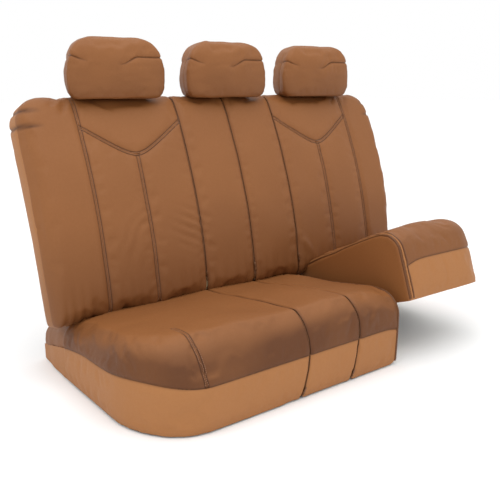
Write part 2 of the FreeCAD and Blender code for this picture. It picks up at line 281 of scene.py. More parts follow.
def baked(holder):
    """The object's evaluated mesh; the object itself is removed."""
    graph = bpy.context.evaluated_depsgraph_get()
    mesh = bpy.data.meshes.new_from_object(holder.evaluated_get(graph))
    bpy.data.objects.remove(holder)
    return mesh


def places(mesh):
    flat = np.empty(len(mesh.vertices) * 3)
    mesh.vertices.foreach_get("co", flat)
    return flat.reshape(-1, 3)


def normals(mesh):
    flat = np.empty(len(mesh.vertices) * 3)
    mesh.vertex_normals.foreach_get("vector", flat)
    return flat.reshape(-1, 3)


def moved(mesh, points):
    mesh.vertices.foreach_set("co", np.ascontiguousarray(points).ravel())
    mesh.update()


def relaxed(mesh, rounds):
    made = as_bmesh(mesh)
    for _ in range(rounds):
        bmesh.ops.smooth_vert(made, verts=made.verts, factor=0.5, use_axis_x=True, use_axis_y=True,
                              use_axis_z=True)
    made.to_mesh(mesh)
    made.free()


CLOTH_FRAMES = 16
CLOTH_SETTINGS = {"vertex_group_mass": "held", "use_pressure": True, "quality": 6, "mass": 0.35,
                  "tension_stiffness": 18, "compression_stiffness": 18, "shear_stiffness": 6,
                  "bending_stiffness": 0.6, "shrink_min": -0.012}


def pillowed(mesh, held, pressure, cap):
    """Cloth pressure against the held points, with each point's travel capped."""
    before = places(mesh)
    holder = thing("pillow", mesh)
    group = holder.vertex_groups.new(name="held")
    for index in np.flatnonzero(held > 0.02):
        group.add([int(index)], float(held[index]), "REPLACE")
    cloth = holder.modifiers.new("cloth", "CLOTH")
    for setting, value in CLOTH_SETTINGS.items():
        setattr(cloth.settings, setting, value)
    cloth.settings.uniform_pressure_force = pressure
    cloth.settings.effector_weights.gravity = 0
    cloth.collision_settings.use_collision = False
    cloth.point_cache.frame_end = CLOTH_FRAMES
    for frame_number in range(1, CLOTH_FRAMES + 1):
        bpy.context.scene.frame_set(frame_number)
    swollen = baked(holder)
    bpy.context.scene.frame_set(1)
    travel = places(swollen) - before
    reach = np.linalg.norm(travel, axis=1, keepdims=True)
    moved(swollen, before + travel * np.minimum(1, cap / np.maximum(reach, 1e-9)))
    return swollen


def cut_along(made, field, levels, near=0.012):
    """Adds edge lines where a field of the points has the given values, on faces near the seam."""
    home = made.verts.layers.float_vector.get("home") or made.verts.layers.float_vector.new("home")
    points = np.array([vert.co for vert in made.verts])
    values = field(points)
    for vert, value in zip(made.verts, values):
        vert[home] = vert.co
        vert.co.z = value
    for level in levels:
        close = [face for face in made.faces if min(abs(vert.co.z - level) for vert in face.verts) < near]
        geometry = set(close)
        for face in close:
            geometry.update(face.edges)
            geometry.update(face.verts)
        bmesh.ops.bisect_plane(made, geom=list(geometry), plane_co=(0, 0, level), plane_no=(0, 0, 1),
                               dist=1e-5)
    for vert in made.verts:
        vert.co = vert[home]


def parted(mesh, choices, lip):
    """One mesh for each choice of faces, its cut edges folded inward by a lip."""
    centres = np.array([polygon.center for polygon in mesh.polygons])
    panels = []
    for choose in choices:
        panel = as_bmesh(mesh)
        others = [face for face, wanted in zip(panel.faces, choose(centres)) if not wanted]
        bmesh.ops.delete(panel, geom=others, context="FACES")
        rim = [edge for edge in panel.edges if edge.is_boundary] if lip else []
        inward = {vert: -vert.normal * lip for edge in rim for vert in edge.verts}
        seam = panel.verts.layers.float.get("seam")
        folded = bmesh.ops.extrude_edge_only(panel, edges=rim)
        rim_points = {tuple(round(part, 7) for part in vert.co): step for vert, step in inward.items()}
        for vert in new_verts(folded):
            vert.co += rim_points[tuple(round(part, 7) for part in vert.co)]
            # The folded lip is painted in full seam shadow.
            if seam:
                vert[seam] = 1.0
        result = as_mesh(panel, "panel")
        result.shade_smooth()
        panels.append(result)
    return panels


def half_width(height):
    """Half width of the backrest at its right, fullest in the middle of its height."""
    return 0.640 + 0.030 * np.sin(math.pi * np.clip(height, 0, 0.64) / 0.64)


def bulge(height):
    radius = (BACK_TOP ** 2 / 4 + BACK_BULGE ** 2) / (2 * BACK_BULGE)
    return np.sqrt(np.maximum(radius ** 2 - (height - BACK_TOP / 2) ** 2, 0)) - (radius - BACK_BULGE)


shoulder = BACK_TOP - CORNER
rise = [BACK_HEM + (shoulder - BACK_HEM) * step / 18 for step in range(19)]
right_side = [(float(half_width(height)), height) for height in rise]
inner = right_side[-1][0] - CORNER
right_side += smooth_arc(right_side[-1], (inner, BACK_TOP), inner, shoulder, 8)[1:]
left_side = [(LEFT_EDGE, height) for height in rise]
inner = LEFT_EDGE + CORNER
left_side += smooth_arc(left_side[-1], (inner, BACK_TOP), inner, shoulder, 8)[1:]
outline = [(x, 0, height) for x, height in right_side + left_side[::-1]]
form = slab(outline, (0, 1, 0), BACK_DEEP)
rounded(form, lambda edge: all(vert.co.y < 0.001 for vert in edge.verts), FRONT_ROUND, 8)
rounded(form, lambda edge: all(vert.co.y > BACK_DEEP - 0.001 for vert in edge.verts), REAR_ROUND, 5)
back_form = evened(form, VOXEL)
relaxed(back_form, 2)
points = places(back_form)
forward = 1 - share(points[:, 1] / BACK_DEEP)
points[:, 1] -= bulge(points[:, 2]) * forward
moved(back_form, points)


def yoke_line(x):
    """Slope height of the V-shaped yoke seam at x."""
    reach = (np.abs(x) - STEM) / 0.165
    soft = 0.22
    return 0.428 + 0.094 * (np.sqrt(reach ** 2 + soft ** 2) - soft) / (math.sqrt(1 + soft ** 2) - soft)


def flat_depth(points):
    """Depth of a point before the front was bulged."""
    swell = bulge(points[:, 2])
    return (points[:, 1] + swell) / (1 + swell / BACK_DEEP)


def away(signed, outside):
    """The signed distance, lengthened by how far outside its stretch a point lies."""
    return signed + np.copysign(outside, signed)


REAR_SEAM = 0.088
GUSSET_SEAM = 0.030


def back_seams(points):
    """Signed distances to each sewn line of the front, long where the line isn't there."""
    x, height = points[:, 0], points[:, 2]
    behind = np.where(flat_depth(points) > REAR_SEAM, 1.0, 0.0)
    above = 4 * np.maximum(height - yoke_line(x), 0)
    beside = 4 * np.maximum(0, np.maximum(BOLSTER_LEFT - x, x - BOLSTER_RIGHT))
    beside += 4 * np.maximum(0, ZIP - np.abs(x))
    return {
        "bolster_left": away(x - BOLSTER_LEFT, behind),
        "bolster_right": away(x - BOLSTER_RIGHT, behind),
        "stem_left": away(x + STEM, behind + above),
        "stem_right": away(x - STEM, behind + above),
        "yoke": away((height - yoke_line(x)) * 0.88, behind + beside),
    }


def back_zips(points):
    x = points[:, 0]
    behind = np.where(flat_depth(points) > REAR_SEAM, 1.0, 0.0)
    return {"left": away(x + ZIP, behind), "centre": away(x, behind), "right": away(x - ZIP, behind)}


def gusset_line(points):
    """Distance behind the seam between the bolster and the side gusset."""
    return flat_depth(points) - GUSSET_SEAM


def rear_line(points):
    return flat_depth(points) - REAR_SEAM


seams = back_seams(places(back_form))
zips = back_zips(places(back_form))
pinned = np.zeros(len(back_form.vertices))
for distance in list(seams.values()) + list(zips.values()):
    pinned = np.maximum(pinned, share(1.3 - np.abs(distance) / 0.009))
back_form = pillowed(back_form, pinned, 2.0, 0.0050)
FOAM_INSET = 0.009


def core(node, mesh, body, shape):
    """Foam just inside a cover, in place of its CAD node."""
    result = mesh.copy()
    moved(result, places(mesh) - normals(mesh) * FOAM_INSET)
    relaxed(result, 1)
    moved(result, shape(places(result)))
    result.shade_smooth()
    made = thing(node + "_core", result, FOAM)
    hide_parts(node)
    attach(made, body)


foam = Finish("seat_foam", Roughness=0.95)
foam.grained(foam.cells(420.0), shade(196, 182, 140), shade(226, 214, 176), 0.0012, 0.7)
FOAM = foam.material
core("back_foam", back_form, "bench", leaned)

STITCH = 0.0045
THREAD_ROW = 0.0024
TEETH = 0.0020
SEWN_LINES = (-STITCH - 0.002, -STITCH, -0.0022, 0, 0.0022, STITCH, STITCH + 0.002)
ZIP_LINES = (-0.007, -0.0045, -TEETH, TEETH, 0.0045, 0.007)
skin = as_bmesh(back_form)
for name in seams:
    cut_along(skin, lambda found: back_seams(found)[name], SEWN_LINES)
for name in zips:
    cut_along(skin, lambda found: back_zips(found)[name], ZIP_LINES)
cut_along(skin, gusset_line, (-0.004, 0, 0.004))
cut_along(skin, rear_line, (-0.003, 0, 0.003))
skin.to_mesh(back_form)
skin.free()


def crease(distance, width):
    return np.exp(-(distance / width) ** 2)


def ripples(points, scale, seed):
    """Soft irregular relief, about -1 to 1."""
    offset = Vector((seed, seed * 1.7, seed * 2.3))
    return np.array([noise.noise(Vector(point) * scale + offset) for point in points])


def stored(mesh, name, amount):
    """Keeps an amount at each point for the leatherette to read: its painted seam shadow, or its painted
    shade.
    """
    layer = mesh.attributes.get(name) or mesh.attributes.new(name, "FLOAT", "POINT")
    layer.data.foreach_set("value", share(amount))


def sewn(mesh, stitched, zipped, extra=0, seam_shade=0):
    """Pulls seams and zips into a skin and stores the shadow painted along them."""
    found = places(mesh)
    depth = np.zeros(len(found))
    seam_shade = seam_shade + np.zeros(len(found))
    for distance in stitched:
        near = np.abs(distance)
        depth += 0.0014 * crease(near, 0.0016) + 0.0018 * crease(near - STITCH, 0.0015)
        depth -= 0.0011 * crease(near - 0.015, 0.008)
        # Painted shadow along the stitch rows and in the seam groove.
        seam_shade = np.maximum(seam_shade, 0.15 * crease(near, 0.0012) + 0.85 * crease(near - STITCH, 0.0012))
    for distance in zipped:
        near = np.abs(distance)
        depth += 0.0030 * crease(np.maximum(near - 0.0032, 0), 0.0022)
        depth -= 0.0010 * crease(near - 0.016, 0.008)
        # Painted shadow at the edges of each zip's gap.
        seam_shade = np.maximum(seam_shade, 0.65 * crease(np.maximum(near - TEETH, 0), 0.0012))
    moved(mesh, found - normals(mesh) * (depth + extra)[:, None])
    stored(mesh, "seam", seam_shade)


found = places(back_form)
x, depth, height = found.T
# Painted shade: the backrest's colour deepens towards its foot, where the cushions shade it, with soft
# random patches.
stored(back_form, "painted_shade", 0.45 * share(1 - height / 0.28) + 0.10 * ripples(found, 6.0, 5.0))
low = share(1 - height / 0.30)
folds = 0.0030 * low * ripples(found * (1.0, 1.0, 0.55), 14.0, 3.0) + 0.0026 * ripples(found, 9.0, 8.0)
ring = np.hypot(x + 0.30, (height - 0.10) * 0.8)
fan = crease(ring - 0.14, 0.06) * crease(x + 0.37, 0.09) * crease(height - 0.16, 0.10)
folds += 0.0015 * np.sin(ring * 190 + 7 * ripples(found, 11.0, 6.0)) * fan
folds += 0.0026 * np.sin((x * 0.5 + height) * 210) * crease(x + 0.22, 0.05) * crease(height - 0.20, 0.06)
pucker = 0.0022 * np.sin(x * 190 + 2 * np.sin(x * 31)) * share(1 - height / 0.10)
slant = (x - ZIP - 0.035) * 0.80 + (height - 0.085) * 0.6
folds += 0.006 * crease(slant, 0.012) * crease(x - ZIP - 0.03, 0.05) * crease(height - 0.085, 0.06)
side = share((np.abs(x) - 0.60) / 0.04)
# Two tucks at each side, pulled in, with painted shadow along them.
tuck_shade = 0
for tuck, lift in ((0.572, 0.0035), (0.528, 0.0050)):
    dent = side * crease(height - tuck - 0.15 * (flat_depth(found) - 0.03), 0.0050)
    folds -= lift * dent
    tuck_shade = np.maximum(tuck_shade, 0.8 * dent)
sewn(back_form, back_seams(found).values(), back_zips(found).values(), -folds - pucker, tuck_shade)
found = places(back_form)
found[:, 2] += 0.007 * crease(found[:, 0] + 0.455, 0.018) * share(1 - found[:, 2] / 0.045)
moved(back_form, found)


def above_yoke(found):
    return found[:, 2] > yoke_line(found[:, 0])


def front_between(low, high):
    return lambda found: (found[:, 0] > low) & (found[:, 0] < high) & (rear_line(found) < 0)


def both(first, second, wanted=True):
    return lambda found: first(found) & (second(found) == wanted)


def outer(sign):
    edge = BOLSTER_RIGHT if sign > 0 else BOLSTER_LEFT
    return lambda found: (found[:, 0] - edge) * sign > 0


panel_faces = {
    "back_left_bolster": both(outer(-1), lambda found: gusset_line(found) < 0),
    "back_right_bolster": both(outer(1), lambda found: gusset_line(found) < 0),
    "back_left_gusset": both(outer(-1), lambda found: (gusset_line(found) > 0) & (rear_line(found) < 0)),
    "back_right_gusset": both(outer(1), lambda found: (gusset_line(found) > 0) & (rear_line(found) < 0)),
    "back_left_yoke": both(front_between(BOLSTER_LEFT, -ZIP - TEETH), above_yoke),
    "back_right_yoke": both(front_between(ZIP + TEETH, BOLSTER_RIGHT), above_yoke),
    "back_left_insert_outer": both(front_between(BOLSTER_LEFT, -STEM), above_yoke, False),
    "back_left_insert_inner": both(front_between(-STEM, -ZIP - TEETH), above_yoke, False),
    "back_right_insert_inner": both(front_between(ZIP + TEETH, STEM), above_yoke, False),
    "back_right_insert_outer": both(front_between(STEM, BOLSTER_RIGHT), above_yoke, False),
    "back_centre_left": front_between(-ZIP + TEETH, -TEETH),
    "back_centre_right": front_between(TEETH, ZIP - TEETH),
    "back_rear_panel": lambda found: rear_line(found) > 0,
}


def kept(piece, body, material, *nodes):
    """A finished piece: it rides on its body and stands for the CAD nodes named."""
    if nodes:
        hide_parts(*nodes)
    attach(piece, body)
    return piece


SHEET = 0.0014


def thickened(mesh, material):
    """The mesh given the thickness of leatherette, inwards, with crisp cut edges."""
    holder = thing("sheet", mesh, material)
    sheet = holder.modifiers.new("sheet", "SOLIDIFY")
    sheet.thickness = SHEET
    sheet.offset = -1
    result = baked(holder)
    result.set_sharp_from_angle(angle=math.radians(62))
    return result


def dressed(node, mesh, material, body):
    """A finished cover panel, a sheet of leatherette on its foam, in place of its CAD node."""
    made = kept(thing(node + "_cover", thickened(mesh, material)), body, material, node)


knit = Finish("lining_cloth", Roughness=0.9, Sheen_Weight=0.15)
wale = knit.ribs(220.0, "X")
course = knit.ribs(220.0, "Z")
knit.grained(wale * course, shade(84, 54, 32), shade(112, 74, 45), 0.0004, 0.5)
LINING = knit.material

for node, mesh in zip(panel_faces, parted(back_form, panel_faces.values(), 0.005)):
    moved(mesh, leaned(places(mesh)))
    dressed(node, mesh, TAN if "gusset" in node else LINING if "rear" in node else BROWN, "bench")


# Sewing thread: a row of short raised stitches each side of every sewn seam of the backrest. The rows
# are laid on the finished skin, and the thread is a shade lighter than the leatherette.
def skin_tree(mesh):
    return BVHTree.FromPolygons([tuple(point) for point in places(mesh)],
                                [tuple(face.vertices) for face in mesh.polygons])


def laid_on(tree, guesses, pitch):
    """Evenly spaced points, outward normals and directions on a skin, following a run of guesses."""
    spots = [tree.find_nearest(Vector(guess)) for guess in guesses]
    line = np.array([spot[0] for spot in spots])
    ways = np.array([spot[1] for spot in spots])
    reach = np.concatenate(([0], np.cumsum(np.linalg.norm(np.diff(line, axis=0), axis=1))))
    at = np.linspace(0, reach[-1], max(2, int(reach[-1] / pitch)))
    line, ways = (np.column_stack([np.interp(at, reach, part[:, axis]) for axis in range(3)])
                  for part in (line, ways))
    along = np.gradient(line, axis=0)
    return [(Vector(point), Vector(way).normalized(), Vector(run).normalized())
            for point, way, run in zip(line, ways, along)]


def turned(point, out, run, size):
    """Matrix that puts a unit shape at a point: x across, y along the run, z outwards."""
    across = run.cross(out).normalized()
    out = across.cross(run)
    matrix = Matrix.Identity(4)
    for column, (axis, scale) in enumerate(zip((across, run, out), size)):
        matrix.col[column] = (axis * scale).to_4d() * Vector((1, 1, 1, 0))
    matrix.translation = point
    return matrix


STITCH_HALF = 0.0019
STITCH_THICK = 0.0008


def joined(parts, name):
    """Several bmeshes as one mesh."""
    whole = bmesh.new()
    mesh = bpy.data.meshes.new(name)
    for part in parts:
        part.to_mesh(mesh)
        part.free()
        whole.from_mesh(mesh)
    whole.to_mesh(mesh)
    whole.free()
    return mesh


def stitches(row):
    """Short raised stitches along one row."""
    part = bmesh.new()
    for point, out, run in row:
        spot = turned(point + out * 0.0001, out, run, (STITCH_THICK, STITCH_HALF, STITCH_THICK))
        bmesh.ops.create_uvsphere(part, u_segments=6, v_segments=4, radius=1, matrix=spot)
    return part


def threads(rows):
    mesh = joined([stitches(row) for row in rows], "threads")
    mesh.shade_smooth()
    return mesh


def back_column(x):
    """Guesses up the front of the backrest at x, over its top edge and back almost to the rear seam."""
    roll = FRONT_ROUND
    run = [(x, -float(bulge(height)), height)
           for height in np.linspace(BACK_HEM + 0.003, BACK_TOP - roll, 70)]
    run += [(x, roll - roll * math.cos(turn), BACK_TOP - roll + roll * math.sin(turn))
            for turn in np.linspace(0.1, math.pi / 2, 8)]
    return run + [(x, depth, BACK_TOP) for depth in np.linspace(roll + 0.005, REAR_SEAM - 0.003, 6)]


PITCH = 0.0047
back_tree = skin_tree(back_form)
rows = []
for x in (BOLSTER_LEFT, BOLSTER_RIGHT):
    rows += [laid_on(back_tree, back_column(x + side), PITCH) for side in (-THREAD_ROW, THREAD_ROW)]
for sign in (-1, 1):
    for side in (-THREAD_ROW, THREAD_ROW):
        stem = [guess for guess in back_column(sign * STEM + side) if guess[2] < yoke_line(STEM) - STITCH]
        rows.append(laid_on(back_tree, stem[:61], PITCH))
        ends = sorted((sign * (abs(BOLSTER_LEFT) - STITCH), sign * (ZIP + 0.008)))
        yoke = [(x, -float(bulge(yoke_line(x) + side / 0.88)), float(yoke_line(x) + side / 0.88))
                for x in np.linspace(ends[0], ends[1], 70)]
        rows.append(laid_on(back_tree, yoke, PITCH))
thread = Finish("sewing_thread", Roughness=0.6, Sheen_Weight=0.3)
thread.grained(thread.noise(900.0), shade(156, 104, 62), shade(116, 73, 41))
THREAD = thread.material
sewing = threads(rows)
moved(sewing, leaned(places(sewing)))
kept(thing("back_stitching", sewing, THREAD), "bench", THREAD)


# Zips: a cloth tape under the gap between two panels, with a moulded coil of teeth on it, and a metal
# slider with its pull. They close the openings that let a cover go round folding armrests and belts.
TAPE_HALF = 0.0065
TAPE_SUNK = 0.0034
TEETH_SUNK = 0.0026
TOOTH_PITCH = 0.0027
TOOTH = (0.0034, 0.0017, 0.0016)


def ribbon(path):
    """A flat tape along a path of (point, out, run), sunk below the skin."""
    tape = bmesh.new()
    sides = []
    for sign in (-1, 1):
        chain = [tape.verts.new(point + run.cross(out).normalized() * TAPE_HALF * sign - out * TAPE_SUNK)
                 for point, out, run in path]
        sides += [tape.edges.new(pair) for pair in zip(chain, chain[1:])]
    bmesh.ops.bridge_loops(tape, edges=sides)
    bmesh.ops.recalc_face_normals(tape, faces=tape.faces)
    bmesh.ops.solidify(tape, geom=tape.faces[:], thickness=0.0006)
    return tape


def zip_chain(tree, guesses):
    """The tape and teeth of one zip."""
    path = laid_on(tree, guesses, TOOTH_PITCH)
    tape = ribbon(path[::3] + path[-1:])
    for count, (point, out, run) in enumerate(path):
        aside = run.cross(out) * (0.0007 if count % 2 else -0.0007)
        spot = turned(point - out * TEETH_SUNK + aside, out, run, TOOTH)
        bmesh.ops.create_cube(tape, size=1, matrix=spot)
    return tape


def slider_mesh():
    """A zip slider lying along y, z outwards: two plates, a nose, a bail and a pull tab with an eye."""
    made = bmesh.new()
    plate_size = Matrix.Diagonal((0.0080, 0.0150, 0.0024, 1))
    plate = bmesh.ops.create_cube(made, size=1, matrix=plate_size)["verts"]
    nose = [vert for vert in plate if vert.co.y > 0]
    bmesh.ops.scale(made, vec=(0.62, 1, 0.85), verts=nose)
    bail = bmesh.ops.create_cube(made, size=1, matrix=Matrix.Translation((0, 0.001, 0.0018))
                                 @ Matrix.Diagonal((0.0024, 0.0080, 0.0020, 1)))["verts"]
    bmesh.ops.scale(made, vec=(1, 0.7, 1), verts=[vert for vert in bail if vert.co.z > 0.0018])
    rim = bmesh.ops.create_circle(made, cap_ends=False, radius=0.0030, segments=18,
                                  matrix=Matrix.Translation((0, -0.0060, 0.0022)))["verts"]
    rim_edges = list({edge for vert in rim for edge in vert.link_edges})
    fresh = new_verts(bmesh.ops.extrude_edge_only(made, edges=rim_edges))
    bmesh.ops.translate(made, vec=(0, 0.0060, 0), verts=fresh)
    bmesh.ops.scale(made, vec=(0.45, 0.45, 1), verts=rim)
    bmesh.ops.scale(made, vec=(0.95, 3.0, 1), verts=fresh)
    bmesh.ops.translate(made, vec=(0, -0.0120, 0), verts=rim + fresh)
    bmesh.ops.translate(made, vec=(0, 0.0060, 0), verts=rim)
    tab = list({face for vert in rim for face in vert.link_faces})
    bmesh.ops.solidify(made, geom=tab, thickness=0.0009)
    bmesh.ops.recalc_face_normals(made, faces=made.faces)
    rounded(made, lambda edge: edge.calc_face_angle(0) > 0.9, 0.0004, 2)
    mesh = as_mesh(made, "slider")
    mesh.shade_smooth()
    return mesh


coil = Finish("zip_coil", Roughness=0.45)
coil.grained(coil.noise(700.0, 2.0), shade(140, 92, 55), shade(112, 72, 41), 0.0003, 0.5)
ZIPPER = coil.material
enamel = Finish("slider_enamel", Metallic=0.7, Roughness=0.36, Coat_Weight=0.3)
enamel.grained(enamel.noise(380.0), shade(126, 84, 50), shade(98, 62, 36))
ENAMEL = enamel.material


def slider_on(node, tree, guesses, lift, shape=None):
    """A slider on the middle of a short stretch of its zip, in place of its CAD node."""
    ride = laid_on(tree, guesses, 0.004)
    point, out, run = ride[len(ride) // 2]
    piece = slider_mesh()
    piece.transform(turned(point + out * lift, out, run, (1, 1, 1)))
    if shape:
        moved(piece, shape(places(piece)))
    kept(thing(node + "_pull", piece, ENAMEL), node, ENAMEL, node)


chains = joined([zip_chain(back_tree, back_column(x)) for x in (-ZIP, 0, ZIP)], "zip")
moved(chains, leaned(places(chains)))
kept(thing("back_zip_chains", chains, ZIPPER), "bench", ZIPPER, "back_zips")
for x, name in ((-ZIP, "left"), (0, "centre"), (ZIP, "right")):
    slider_on(f"back_{name}_slider", back_tree, back_column(x)[5:9], 0.0030, leaned)


# Cushions: a top cover over a crowned foam slab on a pan, and a skirt sewn on below it. The 60 % one has
# two zips and a dart at its front corner. The 40 % one stands open, swung up about the hinge tube.
HINGE = next(joint for joint in frame["joints"] if joint["name"] == "seat_40_hinge")
PIVOT = HINGE["pos_m"]
RAISED = math.radians(-HINGE["range_deg"][0])
HEM = 0.003
CREST = 0.212
ROLL = 0.062
SKIRT_TOP = 0.118
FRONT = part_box("seat_60_skirt_front")[0][1]
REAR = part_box("seat_60_top_left")[1][1]
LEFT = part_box("seat_60_top_left")[0][0]
SPLIT_60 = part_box("seat_60_end_wall")[1][0]
SPLIT_40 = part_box("seat_40_side_wall")[0][0]
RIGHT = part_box("seat_40_top")[1][0]
DART = -0.479


def swung(points):
    """Swings points of the 40 % cushion up about the hinge."""
    x, y, z = points.T
    y, z = y - PIVOT[1], z - PIVOT[2]
    return np.column_stack((x, PIVOT[1] + y * math.cos(RAISED) + z * math.sin(RAISED),
                            PIVOT[2] - y * math.sin(RAISED) + z * math.cos(RAISED)))


def top_line(y):
    """Height of a cushion's top over the bench, from the crest down to the rear."""
    return CREST - 0.062 * share((y + 0.345) / 0.407) ** 1.25


def crown(x, y, low, high):
    """How far the middle of a cushion stands above its facing end."""
    end_fall = 4 + 14 * share((y + 0.16) / 0.16)
    across = share(1 - np.abs((x - (low + high) / 2) / ((high - low) / 2)) ** end_fall)
    return across * (0.009 + 0.014 * share((y + 0.34) / 0.34))


def seat_form(low, high, sign):
    """A cushion as one closed slab, its outer side (by sign) rounded at the corner and over the top."""
    outside, inside = (low, high) if sign < 0 else (high, low)
    wide, deep = (0.170, 0.206) if sign < 0 else (0.130, 0.150)
    start, end = (outside, FRONT + deep), (outside - sign * wide, FRONT - 0.006)
    plan = [(outside, REAR)] + smooth_arc(start, end, end[0], start[1], 14) + [(inside, FRONT)]
    steps = [(inside, FRONT + (REAR - FRONT) * step / 6) for step in range(1, 7)]
    made = slab([(x, y, 0.0) for x, y in plan + steps], (0, 0, 1), CREST)

    def front_or_outer(edge):
        spots = [vert.co for vert in edge.verts]
        top = all(spot.z > CREST - 0.001 for spot in spots)
        within = all(abs(spot.x - inside) < 1e-5 for spot in spots)
        rear = all(abs(spot.y - REAR) < 1e-5 for spot in spots)
        return top and not within and not rear

    rounded(made, front_or_outer, ROLL, 9)
    mesh = evened(made, VOXEL)
    relaxed(mesh, 3)
    points = places(mesh)
    x, y, z = points.T
    upper = share((z - 0.10) / (CREST - 0.10))
    z += (top_line(y) - CREST + crown(x, y, low, high)) * upper
    swells = 0.006 * ripples(points * (1, 1, 0), 5.5, low * 10)
    z += upper * (swells + 0.0025 * ripples(points, 13.0, 5.0))
    slack = share(-x / 0.45) * share(1 - (y - FRONT) / 0.28)
    y += 0.034 * slack * share((z - SKIRT_TOP) / 0.10)
    tuck = share((y - FRONT) / -0.02 + 0.5) * share((0.10 - z) / 0.1)
    y += 0.005 * tuck
    moved(mesh, np.column_stack((x, y, z)))
    held = share(1.3 - np.abs(skirt_line(places(mesh))) / 0.010)
    held = np.maximum(held, z < 0.014)
    held = np.maximum(held, np.abs(x - inside) < 0.012)
    held = np.maximum(held, y > REAR - 0.012)
    return pillowed(mesh, held.astype(float), 1.8, 0.0045)


def skirt_line(points):
    """Height above the seam that joins the skirt to the top cover."""
    x, y, z = points.T
    lift = 0.014 * crease(x + 0.600, 0.09) * crease(y + 0.330, 0.12) - 0.016 * crease(x - SPLIT_40, 0.05)
    return z - SKIRT_TOP - lift + 0.034 * share((y + 0.10) / 0.20) ** 1.5


def cushion_panels(mesh, seams, zips, end, sign, turned_up):
    """Cuts a cushion's seams into its form, and its hem, which turns up towards one end."""
    def end_line(found):
        return (found[:, 0] - end) * sign

    def hem_line(found):
        close = share(1 - np.abs(found[:, 0] - turned_up) / 0.032)
        rise = 0.028 * (1 - np.sqrt(1 - close ** 2)) * (found[:, 1] < -0.2)
        rise += 0.037 * share((found[:, 1] - REAR + 0.016) / 0.003)
        return found[:, 2] - HEM - 0.001 - rise

    made = as_bmesh(mesh)
    cut_along(made, end_line, (-0.004, 0, 0.004))
    cut_along(made, skirt_line, (-0.006, -0.002, 0, 0.002, 0.006))
    for field in seams:
        cut_along(made, field, SEWN_LINES)
    for field in zips:
        cut_along(made, field, ZIP_LINES)
    cut_along(made, hem_line, (0,))
    under = hem_line(np.array([face.calc_center_median() for face in made.faces])) < 0
    bottom = [face for face, below in zip(made.faces, under) if below]
    bmesh.ops.delete(made, geom=bottom, context="FACES")
    made.to_mesh(mesh)
    made.free()
    found = places(mesh)
    facing = end_line(found) < 0
    top = skirt_line(found) > 0
    seam = np.abs(skirt_line(found)) + facing
    ledge = 0.0022 * crease(seam, 0.0025) - 0.0016 * top * crease(seam - 0.012, 0.011)
    # Painted shadow along the seam between skirt and top cover.
    seam_shade = 0.7 * crease(seam, 0.0016)
    sewn(mesh, [field(found) for field in seams], [field(found) for field in zips], ledge, seam_shade)
    # Painted shade on the front roll, where the top cover turns away from the light above; weaker on the
    # 40 % cushion.
    slope = 1 - normals(mesh)[:, 2]
    roll = share((slope - 0.10) / 0.45) * share(1 - (found[:, 1] - 0.02) / 0.08)
    patchy = 0.92 + 0.30 * ripples(found, 9.0, 2.0)
    stored(mesh, "painted_shade", roll * patchy * top * ~facing * (1.0 if sign < 0 else 0.35))


def over_roll(x, top_from, down_to):
    """Guesses along a cushion at x: forward over its top, round the roll and down the front."""
    run = [(x, y, float(top_line(y)) + 0.01) for y in np.linspace(top_from, FRONT + ROLL, 40) if y < REAR]
    run += [(x, FRONT + ROLL - ROLL * math.sin(turn), CREST - ROLL + ROLL * math.cos(turn))
            for turn in np.linspace(0.1, math.pi / 2, 14)]
    return run + [(x, FRONT, z) for z in np.linspace(CREST - 0.07, down_to, 20)]


def dart_line(points):
    x, y = points[:, 0], points[:, 1]
    outside = np.maximum(0, y + 0.285) * 3 + np.maximum(0, -skirt_line(points)) * 3
    return away(x - DART, outside)


def zip_lean(y, z):
    """How far a cushion's zip stands to the right of its foot, which fades out towards the rear."""
    return 0.026 * share(z / SKIRT_TOP) * share(1 - (y - FRONT - 0.05) / 0.32)


def seat_zips(points):
    x, y, z = points.T
    behind = np.where(y > REAR - 0.01, 1.0, 0.0)
    return [away(x - foot - zip_lean(y, z), behind) for foot in (-ZIP, 0.0)]


def zip_left(points):
    return seat_zips(points)[0]


def zip_right(points):
    return seat_zips(points)[1]


def clear_of_pan(points):
    """Lifts the underside of the foam off the steel pan."""
    return np.column_stack((points[:, 0], points[:, 1], np.maximum(points[:, 2], 0.0225)))


def strip(low, high):
    return lambda found: (found[:, 0] > low) & (found[:, 0] < high)


def above(found):
    return skirt_line(found) > 0


def before(found):
    return zip_left(found) < -TEETH


def amid(found):
    return (zip_left(found) > TEETH) & (zip_right(found) < -TEETH)


def after(found):
    return (zip_right(found) > TEETH) & (found[:, 0] < WALL_60)


WALL_60 = SPLIT_60 - 0.006
form_60 = seat_form(LEFT, SPLIT_60, -1)
core("seat_60_foam", form_60, "seat_60", clear_of_pan)
cushion_panels(form_60, [dart_line], [zip_left, zip_right], WALL_60, -1, SPLIT_60)
seat_60_faces = {
    "seat_60_end_wall": strip(WALL_60, 1),
    "seat_60_top_left": both(before, above),
    "seat_60_top_centre": both(amid, above),
    "seat_60_top_right": both(after, above),
    "seat_60_skirt_left": both(before, above, False),
    "seat_60_skirt_front": both(lambda found: amid(found) | after(found), above, False),
}
for node, mesh in zip(seat_60_faces, parted(form_60, seat_60_faces.values(), 0.004)):
    dressed(node, mesh, TAN if "skirt" in node else BROWN, "seat_60")

tree_60 = skin_tree(form_60)
dart = [laid_on(tree_60, over_roll(DART + side, -0.285, 0.126), PITCH)
        for side in (-THREAD_ROW, THREAD_ROW)]
kept(thing("seat_60_stitching", threads(dart), THREAD), "seat_60", THREAD)


def leant(foot):
    """Guesses along a cushion's zip, from the rear of its top to the hem in front."""
    return [(x + float(zip_lean(y, z)), y, z) for x, y, z in over_roll(foot, REAR - 0.012, HEM + 0.004)]


